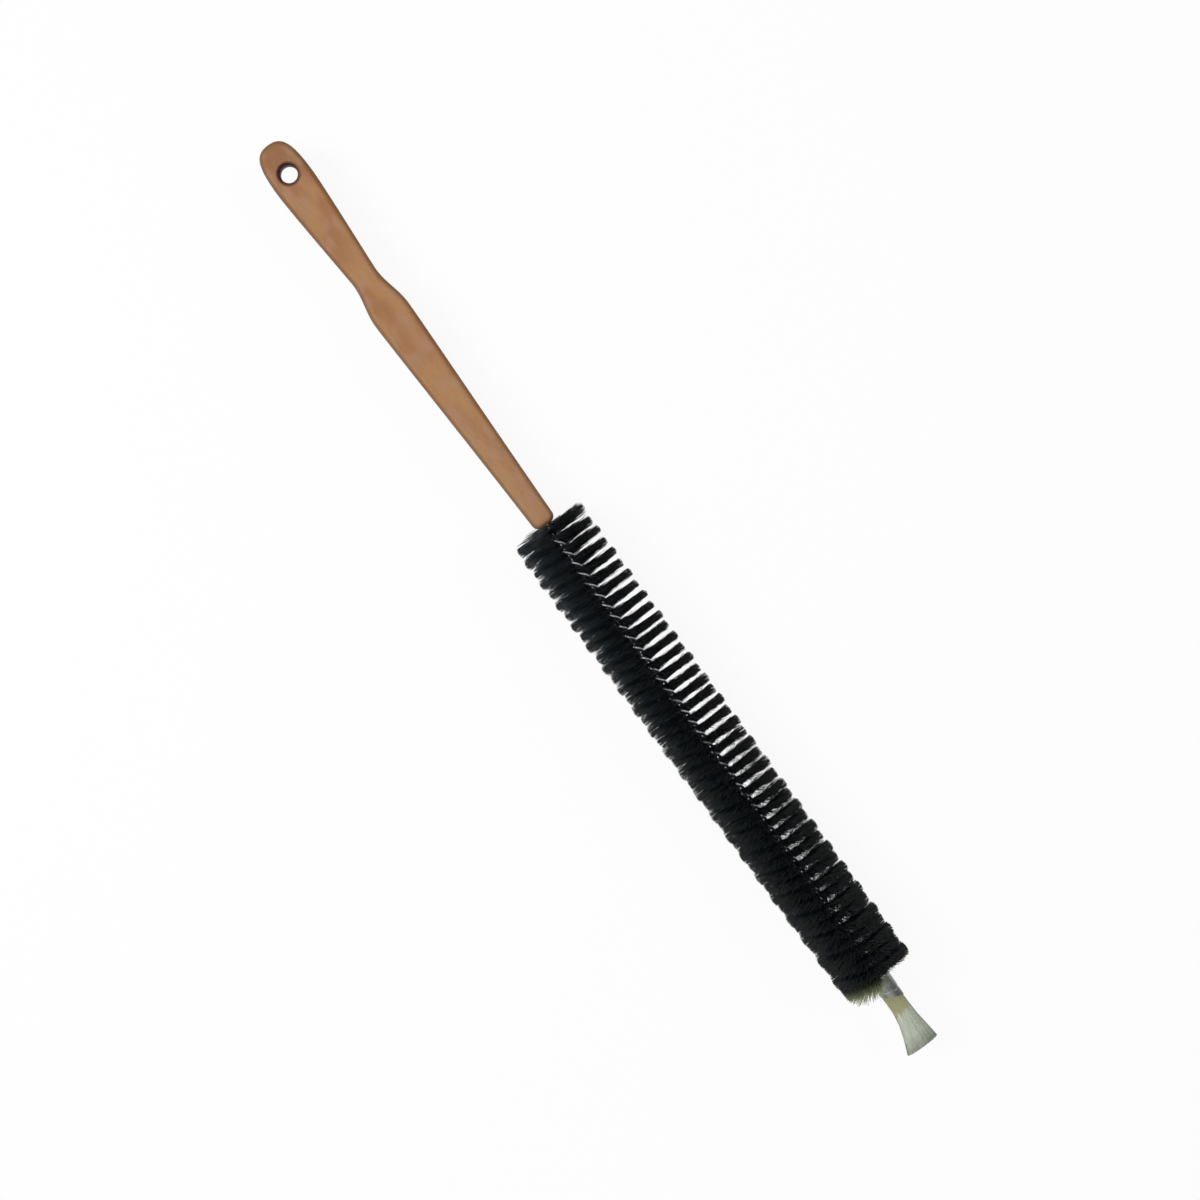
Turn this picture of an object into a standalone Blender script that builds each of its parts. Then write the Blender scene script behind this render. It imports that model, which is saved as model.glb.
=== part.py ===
"""A radiator brush: bristle twisted between two wires, on a flat wooden handle, with a tuft at its tip.

It lies on its bristles with its length along X. The tip points to +X, and the broad faces of the
handle look up and down. The origin is on the floor, below the middle of the length. Metres, +Z up.
"""

import math

import bmesh
import bpy

# Sizes that more than one piece shares
CLEARANCE = 0.0003
OVERRUN = 0.004
WELD_DISTANCE = 0.00001

# Handle, with its places measured from the grip end
HANDLE_LENGTH = 0.2905
HANDLE_THICKNESS = 0.012
HANDLE_EDGE_ROUND = 0.004
GRIP_WIDTH = 0.0265
GRIP_WIDEST_AT = 0.028
WAIST_WIDTH = 0.0175
WAIST_AT = 0.1
BELLY_WIDTH = 0.0254
BELLY_AT = 0.1285
NECK_WIDTH = 0.0155
HOLE_WIDTH = 0.0108
HOLE_AT = 0.022
HOLE_CHAMFER = 0.0026
BORE_DEPTH = 0.055

# How far each curve of the outline pulls, as shares of the stretch or width that it follows
END_PULL_SHARE = 0.74
SHOULDER_PULL_SHARE = 0.79
GRIP_PULL_SHARE = 0.17
WAIST_PULL_SHARE = 0.04
BELLY_PULL_SHARE = 0.38
BELLY_AHEAD_SHARE = 0.08
NECK_PULL_SHARE = 0.46
NECK_SLOPE_SHARE = 0.027
NECK_CORNER_SHARE = 1.25
ROUND_CORNER_PULL_SHARE = 0.5523
EDGE_ROUND_LIMIT_SHARE = 0.4
OUTLINE_STEPS = 8
EDGE_SEGMENTS = 4
EDGE_ANGLE = math.radians(30)

# Head: bristle folded between two wires that are twisted left-handed
HEAD_GAP = 0.0005
HEAD_LENGTH = 0.3556
HALF_TURNS = 43
WIRE_DIAMETER = 0.0022
WIRE_ROOM = 0.0004
WIRE_POINTS_A_TURN = 8
STRAND_THICKNESS = 0.0005
STRAND_TIP_WIDTH = 0.0009
STRANDS_A_SIDE = 5
LONG_REACH = 0.0262
SHORT_REACH = 0.0252
ROOT_REACH_SHARE = 1.1
FLOOR_CUT = 0.0005

# Ferrule on the end of the wires, round at its top and pressed flat at its mouth
FERRULE_GAP = 0.0005
FERRULE_LENGTH = 0.0164
FERRULE_TOP_WIDTH = 0.015
FERRULE_MOUTH_WIDTH = 0.0136
FERRULE_MOUTH_THICKNESS = 0.0068
FERRULE_WALL = 0.0005
FERRULE_RIM_ROUND = 0.0006
CRIMP_DEPTH = 0.00025
CRIMP_WIDTH = 0.0016
CRIMP_AT_SHARE = 0.72
WIRE_IN_FERRULE = 0.0075
TURN_STEPS = 32

# Tuft at the tip, with its neck below the ferrule's mouth
NECK_OF_TIP_LENGTH = 0.0103
WAIST_OF_TIP_WIDTH = 0.0114
WAIST_OF_TIP_THICKNESS = 0.0052
TIP_LENGTH = 0.0277
TIP_WIDTH = 0.0226
TIP_THICKNESS = 0.0066
TIP_LEAN = 0.003
TIP_LOCKS_ACROSS = 9
TIP_LOCKS_THROUGH = 4
TIP_LOCK_SHARE = 0.5

# What follows from the sizes above
HALF_PITCH = HEAD_LENGTH / HALF_TURNS
HALF_TURN = math.pi
STRAND_STEP = HALF_TURN / STRANDS_A_SIDE
WIRE_OFFSET = STRAND_THICKNESS / 2 + WIRE_ROOM + WIRE_DIAMETER / 2
CORE_RADIUS = WIRE_OFFSET + WIRE_DIAMETER / 2
BORE_RADIUS = CORE_RADIUS + CLEARANCE
ROOT_REACH = WIRE_OFFSET * ROOT_REACH_SHARE
HEAD_AT = HANDLE_LENGTH + HEAD_GAP
FERRULE_AT = HEAD_AT + HEAD_LENGTH + FERRULE_GAP
MOUTH_AT = FERRULE_AT + FERRULE_LENGTH
OVERALL_LENGTH = MOUTH_AT + NECK_OF_TIP_LENGTH + TIP_LENGTH
LOWEST_TIP = LONG_REACH * math.cos(STRAND_STEP / 2) + STRAND_THICKNESS / 2 * math.sin(STRAND_STEP / 2)
AXIS_HEIGHT = LOWEST_TIP - FLOOR_CUT


def clear_scene():
    """Removes every object, so that the brush stands alone."""
    for old in list(bpy.data.objects):
        bpy.data.objects.remove(old, do_unlink=True)


def new_collection(name):
    """A collection of this name, linked to the scene."""
    collection = bpy.data.collections.new(name)
    bpy.context.scene.collection.children.link(collection)
    return collection


def new_material(name, colour, roughness, metallic):
    """A Principled material with one colour, roughness and metallic value."""
    material = bpy.data.materials.new(name)
    material.use_nodes = True
    shader = material.node_tree.nodes["Principled BSDF"]
    shader.inputs["Base Color"].default_value = (*colour, 1)
    shader.inputs["Roughness"].default_value = roughness
    shader.inputs["Metallic"].default_value = metallic
    material.diffuse_color = (*colour, 1)
    return material


def place(name, data, collection, parent, location=(0, 0, 0), rotation=(0, 0, 0)):
    """A new object with this data, placed in its parent's frame."""
    piece = bpy.data.objects.new(name, data)
    piece.parent = parent
    piece.location = location
    piece.rotation_euler = rotation
    collection.objects.link(piece)
    return piece


def as_cutter(piece):
    """Hides a cutter from renders and draws it as wires."""
    piece.hide_render = True
    piece.display_type = "WIRE"
    return piece


def cut(piece, cutter, name):
    """Cuts the cutter out of the piece with a Boolean modifier."""
    modifier = piece.modifiers.new(name, "BOOLEAN")
    modifier.operation = "DIFFERENCE"
    modifier.solver = "EXACT"
    modifier.object = cutter


def mesh_from(bm, name, material=None):
    """Turns a bmesh into a mesh with its faces looking out, and frees the bmesh."""
    bmesh.ops.recalc_face_normals(bm, faces=bm.faces)
    mesh = bpy.data.meshes.new(name)
    bm.to_mesh(mesh)
    bm.free()
    if material:
        mesh.materials.append(material)
    return mesh


def turned(name, profile, closed, collection, parent, location=(0, 0, 0), rotation=(0, 0, 0)):
    """A turned piece: (radius, height) points, listed down the outer side, swept once round local Z."""
    mesh = bpy.data.meshes.new(name)
    points = [(radius, 0, height) for radius, height in profile]
    edges = [(i, i + 1) for i in range(len(points) - 1)]
    if closed:
        edges.append((len(points) - 1, 0))
    mesh.from_pydata(points, edges, [])
    piece = place(name, mesh, collection, parent, location, rotation)
    sweep = piece.modifiers.new("Sweep", "SCREW")
    sweep.axis = "Z"
    sweep.angle = 2 * math.pi
    sweep.steps = TURN_STEPS
    sweep.render_steps = TURN_STEPS
    sweep.use_merge_vertices = True
    sweep.merge_threshold = WELD_DISTANCE
    sweep.use_smooth_shade = False
    return piece


def handle_knots():
    """The handle's outline on its +Y side, grip end first: each knot's place and its two curve handles."""
    edge = handle_edge_round()
    corner = edge * NECK_CORNER_SHARE
    corner_at = HANDLE_LENGTH - corner
    grip_run = WAIST_AT - GRIP_WIDEST_AT
    belly_run = BELLY_AT - WAIST_AT
    neck_run = corner_at - BELLY_AT
    half_grip = GRIP_WIDTH / 2
    half_neck = NECK_WIDTH / 2
    end_pull = half_grip * END_PULL_SHARE
    neck_pull = neck_run * NECK_PULL_SHARE
    corner_pull = corner * ROUND_CORNER_PULL_SHARE
    return [
        ((0, 0), (0, -end_pull), (0, end_pull)),
        (
            (GRIP_WIDEST_AT, half_grip),
            (-GRIP_WIDEST_AT * SHOULDER_PULL_SHARE, 0),
            (grip_run * GRIP_PULL_SHARE, 0),
        ),
        (
            (WAIST_AT, WAIST_WIDTH / 2),
            (-grip_run * WAIST_PULL_SHARE, 0),
            (belly_run * BELLY_PULL_SHARE, 0),
        ),
        (
            (BELLY_AT, BELLY_WIDTH / 2),
            (-belly_run * BELLY_PULL_SHARE, 0),
            (neck_run * BELLY_AHEAD_SHARE, 0),
        ),
        (
            (corner_at, half_neck),
            (-neck_pull, neck_pull * NECK_SLOPE_SHARE),
            (corner_pull, 0),
        ),
        ((HANDLE_LENGTH, half_neck - corner), (0, corner_pull), (0, 0)),
    ]


def handle_edge_round():
    """The rounding of the handle's edges, no more than its thickness allows."""
    return min(HANDLE_EDGE_ROUND, HANDLE_THICKNESS * EDGE_ROUND_LIMIT_SHARE)


def outline_curve(name, knots, thickness):
    """A flat closed curve through the knots and their mirror images, with this thickness."""
    curve = bpy.data.curves.new(name, "CURVE")
    curve.dimensions = "2D"
    curve.fill_mode = "BOTH"
    curve.extrude = thickness / 2
    curve.resolution_u = OUTLINE_STEPS
    mirrored = [((x, -y), (bx, -by), (ax, -ay)) for (x, y), (ax, ay), (bx, by) in reversed(knots[1:])]
    spline = curve.splines.new("BEZIER")
    spline.bezier_points.add(len(knots) + len(mirrored) - 1)
    for point, ((x, y), back, ahead) in zip(spline.bezier_points, knots + mirrored):
        point.handle_left_type = "FREE"
        point.handle_right_type = "FREE"
        point.co = (x, y, 0)
        point.handle_left = (x + back[0], y + back[1], 0)
        point.handle_right = (x + ahead[0], y + ahead[1], 0)
    spline.use_cyclic_u = True
    return curve


def made_mesh(curve_object, name, collection, material):
    """A mesh object in the place of a flat curve, with its caps welded and each cap one face."""
    bpy.context.view_layer.update()
    graph = bpy.context.evaluated_depsgraph_get()
    drawn = bpy.data.meshes.new_from_object(curve_object.evaluated_get(graph))
    bm = bmesh.new()
    bm.from_mesh(drawn)
    bmesh.ops.remove_doubles(bm, verts=bm.verts, dist=WELD_DISTANCE)
    for side in (1, -1):
        cap = [face for face in bm.faces if face.normal.z * side > math.cos(EDGE_ANGLE)]
        bmesh.ops.dissolve_faces(bm, faces=cap)
    piece = place(name, mesh_from(bm, name, material), collection, curve_object.parent)
    piece.matrix_world = curve_object.matrix_world
    bpy.data.objects.remove(curve_object, do_unlink=True)
    return piece


def hole_cutter(collection, parent):
    """The hanging hole with a chamfer at both faces, as a turned cutter that overruns the handle."""
    radius = HOLE_WIDTH / 2
    face = HANDLE_THICKNESS / 2
    wide = radius + HOLE_CHAMFER + OVERRUN
    profile = [
        (0, face + OVERRUN),
        (wide, face + OVERRUN),
        (radius, face - HOLE_CHAMFER),
        (radius, HOLE_CHAMFER - face),
        (wide, -face - OVERRUN),
        (0, -face - OVERRUN),
    ]
    return as_cutter(turned("hole_cutter", profile, False, collection, parent, (HOLE_AT, 0, 0)))


def bore_cutter(collection, parent):
    """The blind bore that takes the twisted wires."""
    length = BORE_DEPTH + OVERRUN
    bm = bmesh.new()
    bmesh.ops.create_cone(
        bm, cap_ends=True, segments=TURN_STEPS, radius1=BORE_RADIUS, radius2=BORE_RADIUS, depth=length
    )
    middle = HANDLE_LENGTH + OVERRUN - length / 2
    mesh = mesh_from(bm, "bore_cutter")
    cutter = place("bore_cutter", mesh, collection, parent, (middle, 0, 0), (0, math.pi / 2, 0))
    return as_cutter(cutter)


def build_handle(parts, cutters, parent, material):
    """The wooden handle: its outline with rounded edges, the hanging hole and the wires' bore."""
    curve = outline_curve("handle_outline", handle_knots(), HANDLE_THICKNESS)
    drawn = place("handle_outline", curve, parts, parent)
    handle = made_mesh(drawn, "handle", parts, material)
    handle.data.shade_smooth()
    handle.data.set_sharp_from_angle(angle=EDGE_ANGLE)
    bevel = handle.modifiers.new("Rounded edges", "BEVEL")
    bevel.width = handle_edge_round()
    bevel.segments = EDGE_SEGMENTS
    bevel.limit_method = "ANGLE"
    bevel.angle_limit = EDGE_ANGLE
    cut(handle, hole_cutter(cutters, parent), "Hanging hole")
    cut(handle, bore_cutter(cutters, parent), "Wire bore")
    return handle


def bristle_angle(along):
    """The angle about the axis, from +Y, of the long side's bristle at a distance along the head."""
    return HALF_TURN / 2 - HALF_TURN * along / HALF_PITCH


def wire_curve(name, side, material):
    """One of the two twisted wires, a quarter turn from the bristle on this side of it."""
    start = HANDLE_LENGTH - BORE_DEPTH + CLEARANCE + WIRE_DIAMETER / 2
    end = FERRULE_AT + WIRE_IN_FERRULE
    steps = round((end - start) / HALF_PITCH * WIRE_POINTS_A_TURN / 2)
    curve = bpy.data.curves.new(name, "CURVE")
    curve.dimensions = "3D"
    curve.bevel_depth = WIRE_DIAMETER / 2
    curve.bevel_resolution = 1
    curve.use_fill_caps = True
    curve.materials.append(material)
    spline = curve.splines.new("POLY")
    spline.points.add(steps)
    for i, point in enumerate(spline.points):
        x = start + (end - start) * i / steps
        angle = bristle_angle(x - HEAD_AT) + side * HALF_TURN / 2
        point.co = (x, WIRE_OFFSET * math.cos(angle), WIRE_OFFSET * math.sin(angle), 1)
    return curve


def build_wires(parts, parent, material):
    """The two wires that hold the bristle between them."""
    for name, side in (("core_wire_a", 1), ("core_wire_b", -1)):
        place(name, wire_curve(name, side, material), parts, parent)


def slice_angle(along):
    """The bristle's angle in a root slice, whose two ends keep the half turn's first and last angle."""
    length = HALF_PITCH - CLEARANCE
    return HALF_TURN / 2 - HALF_TURN * (along - CLEARANCE / 2) / length


def flat_tuft():
    """A half turn of bristle as a flat sheet: the slice between the wires, with strands on both sides.

    The layer named turn holds the angle that each point is to be turned by.
    """
    bm = bmesh.new()
    turn = bm.verts.layers.float.new("turn")
    bmesh.ops.create_grid(bm, x_segments=STRANDS_A_SIDE, y_segments=1, size=1)
    length = HALF_PITCH - CLEARANCE
    bmesh.ops.scale(bm, vec=(length / 2, ROOT_REACH, 1), verts=bm.verts)
    bmesh.ops.translate(bm, vec=(HALF_PITCH / 2, 0, 0), verts=bm.verts)
    bmesh.ops.poke(bm, faces=bm.faces)
    for vert in bm.verts:
        vert[turn] = slice_angle(vert.co.x)
    for root in [edge for edge in bm.edges if edge.is_boundary and runs_lengthwise(edge)]:
        add_strand(bm, root, turn)
    bmesh.ops.triangulate(bm, faces=bm.faces)
    return bm, turn


def runs_lengthwise(edge):
    """Whether the edge runs along X."""
    return abs(edge.verts[1].co.x - edge.verts[0].co.x) > edge.calc_length() / 2


def add_strand(bm, root, turn):
    """Adds a flat strand from an edge of the slice out to the strand's tip."""
    middle = (root.verts[0].co.x + root.verts[1].co.x) / 2
    reach = LONG_REACH if root.verts[0].co.y > 0 else -SHORT_REACH
    tip = []
    for vert in root.verts:
        offset = math.copysign(STRAND_TIP_WIDTH / 2, vert.co.x - middle)
        tip.append(bm.verts.new((middle + offset, reach, 0)))
        tip[-1][turn] = slice_angle(middle)
    bm.faces.new((root.verts[0], root.verts[1], tip[1], tip[0]))


def raise_region(bm, faces, height):
    """Extrudes the faces together along Z, and returns the raised faces."""
    raised = bmesh.ops.extrude_face_region(bm, geom=faces)["geom"]
    raised_verts = [item for item in raised if isinstance(item, bmesh.types.BMVert)]
    bmesh.ops.translate(bm, vec=(0, 0, height), verts=raised_verts)
    return [item for item in raised if isinstance(item, bmesh.types.BMFace)]


def thicken(bm, thickness):
    """Gives a flat sheet a thickness, with the same triangles on both its faces, so that they can't cross."""
    bmesh.ops.translate(bm, vec=(0, 0, -thickness / 2), verts=bm.verts)
    raise_region(bm, bm.faces[:], thickness)


def turn_about_axis(vert, angle):
    """Turns a point about the brush's axis."""
    y, z = vert.co.y, vert.co.z
    vert.co.y = y * math.cos(angle) - z * math.sin(angle)
    vert.co.z = y * math.sin(angle) + z * math.cos(angle)


def tuft_mesh(name, floor_side, material):
    """A half turn of bristle, with its long strands cut flat where they stand on the floor.

    floor_side is -1 where local -Z looks down and 1 where local +Z does.
    """
    bm, turn = flat_tuft()
    thicken(bm, STRAND_THICKNESS)
    for vert in bm.verts:
        turn_about_axis(vert, vert[turn])
    cut_flat(bm, floor_side)
    return mesh_from(bm, name, material)


def cut_flat(bm, floor_side):
    """Takes off what reaches below the floor and closes the cut."""
    bmesh.ops.bisect_plane(
        bm,
        geom=[*bm.verts, *bm.edges, *bm.faces],
        dist=0,
        plane_co=(0, 0, floor_side * AXIS_HEIGHT),
        plane_no=(0, 0, floor_side),
        clear_outer=True,
    )
    open_edges = [edge for edge in bm.edges if edge.is_boundary]
    bmesh.ops.holes_fill(bm, edges=open_edges, sides=len(open_edges))


def build_tufts(parts, parent, material):
    """The bristle of the head, a node for each half turn, every other one turned over."""
    meshes = [tuft_mesh("tuft_upright", -1, material), tuft_mesh("tuft_turned", 1, material)]
    for i in range(HALF_TURNS):
        location = (HEAD_AT + i * HALF_PITCH, 0, 0)
        turn = (HALF_TURN * (i % 2), 0, 0)
        place(f"tuft_{i + 1:02d}", meshes[i % 2], parts, parent, location, turn)


def ferrule_radius(share):
    """The ferrule's outer radius at a share of its length from its top, crimp left out."""
    return (FERRULE_TOP_WIDTH + (FERRULE_MOUTH_WIDTH - FERRULE_TOP_WIDTH) * share) / 2


def ferrule_flatness(share):
    """The ferrule's thickness over its width at a share of its length from its top."""
    return 1 - (1 - FERRULE_MOUTH_THICKNESS / FERRULE_MOUTH_WIDTH) * share


def ferrule_side(inset):
    """The tapered side with its crimp, set in by this much: (radius, height) points from top to mouth."""
    crimp_half_share = CRIMP_WIDTH / FERRULE_LENGTH / 2
    shares = [0, CRIMP_AT_SHARE - crimp_half_share, CRIMP_AT_SHARE, CRIMP_AT_SHARE + crimp_half_share, 1]
    depths = [0, 0, CRIMP_DEPTH, 0, 0]
    return [
        (ferrule_radius(share) - depth - inset, -FERRULE_LENGTH * share)
        for share, depth in zip(shares, depths)
    ]


def build_ferrule(parts, parent, material):
    """The metal sleeve: a top plate round the wires, a rounded top edge, a crimp and a flat mouth."""
    outer = ferrule_side(0)
    inner = ferrule_side(FERRULE_WALL)
    top_radius = outer[0][0]
    profile = [
        (BORE_RADIUS, 0),
        (top_radius - FERRULE_RIM_ROUND, 0),
        (top_radius, -FERRULE_RIM_ROUND),
        *outer[1:],
        *reversed(inner[1:]),
        (inner[0][0], -FERRULE_WALL),
        (BORE_RADIUS, -FERRULE_WALL),
    ]
    at = (FERRULE_AT, 0, 0)
    ferrule = turned("ferrule", profile, True, parts, parent, at, (0, -math.pi / 2, 0))
    ferrule.data.materials.append(material)
    ferrule.modifiers["Sweep"].use_smooth_shade = True
    pressed = ferrule.modifiers.new("Pressed mouth", "SIMPLE_DEFORM")
    pressed.deform_method = "TAPER"
    pressed.deform_axis = "Z"
    pressed.lock_y = True
    pressed.factor = 1 - ferrule_flatness(1)
    return ferrule


def round_off(verts, half_thickness, half_width):
    """Moves the points of a square grid of half side 1 onto an oval, thin along X and wide along Y."""
    for vert in verts:
        x, y = vert.co.x, vert.co.y
        vert.co.x = half_thickness * x * math.sqrt(1 - y * y / 2)
        vert.co.y = half_width * y * math.sqrt(1 - x * x / 2)


def scale_faces(bm, faces, through, across):
    """Scales the points of these faces about the tuft's own line, through it and across it."""
    verts = list({vert for face in faces for vert in face.verts})
    bmesh.ops.scale(bm, vec=(through, across, 1), verts=verts)


def draw_locks_out(bm, faces):
    """Draws each face out into a lock that narrows, and spreads the locks to the width of the trim."""
    tips = bmesh.ops.extrude_discrete_faces(bm, faces=faces)["faces"]
    tip_verts = [vert for tip in tips for vert in tip.verts]
    for tip in tips:
        centre = tip.calc_center_median()
        for vert in tip.verts:
            vert.co.x = centre.x + (vert.co.x - centre.x) * TIP_LOCK_SHARE
            vert.co.y = centre.y + (vert.co.y - centre.y) * TIP_LOCK_SHARE
    half_thickness = max(vert.co.x for vert in tip_verts)
    half_width = max(vert.co.y for vert in tip_verts)
    scale_faces(bm, tips, TIP_THICKNESS / 2 / half_thickness, TIP_WIDTH / 2 / half_width)
    bmesh.ops.translate(bm, vec=(0, -TIP_LEAN, TIP_LENGTH), verts=tip_verts)


def build_tip_tuft(parts, parent, material):
    """The pale tuft: a bound root in the ferrule, a neck, and a flat fan of locks with a straight trim."""
    crimped_radius = ferrule_radius(CRIMP_AT_SHARE) - CRIMP_DEPTH - FERRULE_WALL
    mouth_radius = ferrule_radius(1) - FERRULE_WALL
    inner_radius = min(crimped_radius, mouth_radius)
    root_length = FERRULE_LENGTH - WIRE_IN_FERRULE - WIRE_DIAMETER / 2 - CLEARANCE
    root_share = 1 - root_length / FERRULE_LENGTH
    root_half_width = inner_radius - CLEARANCE
    root_half_thickness = inner_radius * ferrule_flatness(root_share) - CLEARANCE
    mouth_half_thickness = inner_radius * ferrule_flatness(1) - CLEARANCE
    waist_across = WAIST_OF_TIP_WIDTH / 2 / root_half_width
    waist_through = WAIST_OF_TIP_THICKNESS / 2 / mouth_half_thickness
    bm = bmesh.new()
    bmesh.ops.create_grid(bm, x_segments=TIP_LOCKS_THROUGH, y_segments=TIP_LOCKS_ACROSS, size=1)
    round_off(bm.verts, root_half_thickness, root_half_width)
    mouth_faces = raise_region(bm, bm.faces[:], root_length)
    scale_faces(bm, mouth_faces, mouth_half_thickness / root_half_thickness, 1)
    waist_faces = raise_region(bm, mouth_faces, NECK_OF_TIP_LENGTH)
    bmesh.ops.delete(bm, geom=mouth_faces, context="FACES")
    scale_faces(bm, waist_faces, waist_through, waist_across)
    draw_locks_out(bm, waist_faces)
    mesh = mesh_from(bm, "tip_tuft", material)
    return place("tip_tuft", mesh, parts, parent, (MOUTH_AT - root_length, 0, 0), (0, math.pi / 2, 0))


def build_brush():
    """The whole brush, its pieces placed from the grip end along the axis."""
    clear_scene()
    parts = new_collection("radiator_brush")
    cutters = new_collection("radiator_brush_cutters")
    wood = new_material("oiled_wood", (0.40, 0.20, 0.09), 0.5, 0)
    steel = new_material("galvanised_wire", (0.46, 0.47, 0.48), 0.4, 1)
    black_bristle = new_material("black_bristle", (0.012, 0.011, 0.011), 0.6, 0)
    tin = new_material("ferrule_metal", (0.55, 0.55, 0.54), 0.35, 1)
    pale_bristle = new_material("pale_bristle", (0.55, 0.53, 0.45), 0.7, 0)
    axis = place("brush_axis", None, parts, None, (-OVERALL_LENGTH / 2, 0, AXIS_HEIGHT))
    build_handle(parts, cutters, axis, wood)
    build_wires(parts, axis, steel)
    build_tufts(parts, axis, black_bristle)
    build_ferrule(parts, axis, tin)
    build_tip_tuft(parts, axis, pale_bristle)


build_brush()
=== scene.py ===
"""The looks of a radiator brush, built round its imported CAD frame.

The brush lies on its bristles with its length along X. The tip points to +X, and the broad faces of
the handle look up and down. The long side of the bristle is the side that stands a little prouder.
"""

import logging
import math
from dataclasses import dataclass
from enum import Enum
from typing import Any, Sequence

import bmesh
import bpy
import numpy as np
from mathutils import Matrix, Vector

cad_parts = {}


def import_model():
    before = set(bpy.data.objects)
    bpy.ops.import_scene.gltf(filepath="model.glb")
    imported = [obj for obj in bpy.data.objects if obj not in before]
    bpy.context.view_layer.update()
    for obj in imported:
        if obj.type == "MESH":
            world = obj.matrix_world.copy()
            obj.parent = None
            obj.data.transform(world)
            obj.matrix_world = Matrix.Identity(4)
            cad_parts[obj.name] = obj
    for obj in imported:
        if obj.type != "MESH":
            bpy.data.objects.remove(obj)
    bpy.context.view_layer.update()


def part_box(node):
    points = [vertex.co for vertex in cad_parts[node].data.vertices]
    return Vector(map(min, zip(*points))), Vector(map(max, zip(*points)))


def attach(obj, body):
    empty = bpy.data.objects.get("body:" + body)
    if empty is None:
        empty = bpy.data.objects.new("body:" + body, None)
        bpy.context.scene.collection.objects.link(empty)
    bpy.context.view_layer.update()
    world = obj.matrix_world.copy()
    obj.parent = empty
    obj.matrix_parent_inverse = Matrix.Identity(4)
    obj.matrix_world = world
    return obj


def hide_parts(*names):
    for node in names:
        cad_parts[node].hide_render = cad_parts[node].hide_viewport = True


Colour = tuple[float, float, float]
Point = tuple[float, float, float]

LOG = logging.getLogger("radiator_brush")
BODY = "root"
HALF_TURN = math.pi


class Slot(Enum):
    """The record's material slots."""

    WOOD = "oiled_wood"
    WIRE = "galvanised_wire"
    BLACK_BRISTLE = "black_bristle"
    FERRULE = "ferrule_metal"
    PALE_BRISTLE = "pale_bristle"


class Axis(Enum):
    """The axis of a vector that a finish measures along."""

    X = 0
    Y = 1
    Z = 2


# Shader building


class Shade:
    """One value in a material, with arithmetic that adds Math nodes."""

    def __init__(self, bench: "Bench", socket: bpy.types.NodeSocket) -> None:
        """Wraps the output socket that carries a value, on its material's bench."""
        self.bench = bench
        self.socket = socket

    def _math(self, operation: str, *operands: Any) -> "Shade":
        """Adds one Math node with that operation on Shades or numbers."""
        settings = {"operation": operation}
        return self.bench.node("ShaderNodeMath", settings, dict(enumerate(operands)))

    def __add__(self, other: Any) -> "Shade":
        """Sum."""
        return self._math("ADD", self, other)

    __radd__ = __add__

    def __sub__(self, other: Any) -> "Shade":
        """Difference."""
        return self._math("SUBTRACT", self, other)

    def __rsub__(self, other: Any) -> "Shade":
        """Difference, reflected."""
        return self._math("SUBTRACT", other, self)

    def __mul__(self, other: Any) -> "Shade":
        """Product."""
        return self._math("MULTIPLY", self, other)

    def __abs__(self) -> "Shade":
        """Distance from zero."""
        return self._math("ABSOLUTE", self)

    def clipped(self, low: float, high: float) -> "Shade":
        """Rises smoothly from 0 at low to 1 at high, and stays there."""
        inputs = {"Value": self, "From Min": low, "From Max": high}
        return self.bench.node("ShaderNodeMapRange", {"interpolation_type": "SMOOTHSTEP"}, inputs)


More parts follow.
